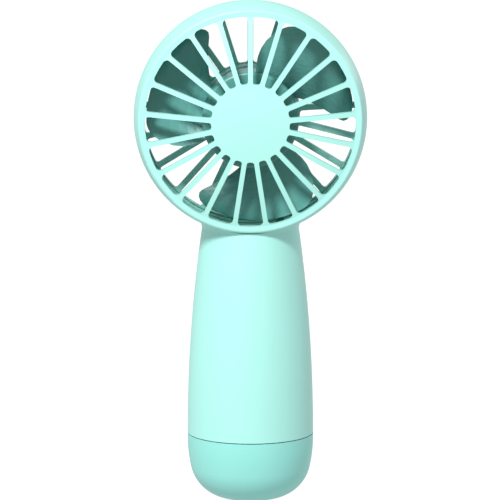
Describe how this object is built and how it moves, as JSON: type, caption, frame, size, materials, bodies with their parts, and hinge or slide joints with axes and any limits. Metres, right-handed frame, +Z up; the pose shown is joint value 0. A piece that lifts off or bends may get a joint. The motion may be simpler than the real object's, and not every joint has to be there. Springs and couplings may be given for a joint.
{
  "type": "handheld electric fan",
  "caption": "Rechargeable mini fan held in the hand: round head with domed ribbed grilles, a broad-bladed impeller and a smooth tapered handle with a rounded base cap.",
  "frame": {"origin": "centre of the foot pad's flat underside, on the handle's axis", "axes": "+Z up along the handle; the open front of the fan faces -Y; +X to the right seen from the front"},
  "size_m": [0.0734, 0.041, 0.1591],
  "materials": {
    "mint_shell": "satin moulded plastic",
    "mint_cap": "satin moulded plastic, a shade darker",
    "teal_blade": "semi-gloss moulded plastic",
    "pad_rubber": "matt silicone",
    "screw_steel": "zinc plated",
    "pressed_steel": "pressed sheet",
    "shaft_steel": "ground",
    "magnet": "bonded magnet strip",
    "brass": "turned",
    "bearing_bronze": "sintered",
    "copper_wire": "enamelled winding",
    "white_nylon": "natural moulded plastic",
    "board_green": "solder resist",
    "chip_black": "moulded black",
    "lead_red": "soft jacket",
    "cell_sleeve": "shrink sleeve",
    "nickel": "nickel plated",
    "foam": "closed-cell foam",
    "clear_guide": "clear moulded plastic",
    "lead_teal": "matt teal jacket"
  },
  "bodies": {
    "casing": {"main_housing": "mint_shell", "base_cap": "mint_cap", "foot_pad": "pad_rubber", "base_screw": "screw_steel", "front_grille": "mint_shell", "rear_grille": "mint_shell", "thrust_washer": "white_nylon", "front_bearing": "bearing_bronze", "rear_bearing": "bearing_bronze", "bearing_tube": "brass", "stator_core": "pressed_steel", "coil_former": "white_nylon", "stator_windings": "copper_wire", "motor_board": "board_green", "motor_chips": "chip_black", "motor_screws": "screw_steel", "motor_lead": "lead_teal", "lead_bush": "lead_teal", "battery_cradle": "white_nylon", "battery_cell": "cell_sleeve", "cell_insulator": "white_nylon", "top_tab": "nickel", "bottom_tab": "nickel", "cell_pad": "foam", "battery_leads": "lead_red", "main_board": "board_green", "board_chips": "chip_black", "board_screws": "screw_steel", "usb_shell": "nickel", "usb_tongue": "chip_black", "tact_switch": "nickel", "indicator_leds": "white_nylon", "light_guide": "clear_guide"},
    "rotor": {"impeller": "teal_blade", "rotor_can": "pressed_steel", "rotor_magnet": "magnet", "shaft_hub": "brass", "motor_shaft": "shaft_steel", "shaft_clip": "shaft_steel"},
    "button": {"power_button": "mint_shell"},
    "plunger": {"switch_plunger": "chip_black"}
  },
  "joints": [
    {"name": "fan_spin", "type": "hinge", "parent": "casing", "child": "rotor", "pos_m": [0, 0, 0.1224], "axis": [0, 1, 0], "continuous": true},
    {"name": "button_press", "type": "slide", "parent": "casing", "child": "button", "axis": [0, -1, 0], "range_m": [0, 0.00035], "stiffness_N_per_m": 4000, "springref_m": -0.0001},
    {"name": "plunger_press", "type": "slide", "parent": "casing", "child": "plunger", "axis": [0, -1, 0], "range_m": [0, 0.00035]}
  ],
  "couplings": [
    {"joint": "plunger_press", "follows": "button_press", "ratio": 1}
  ]
}
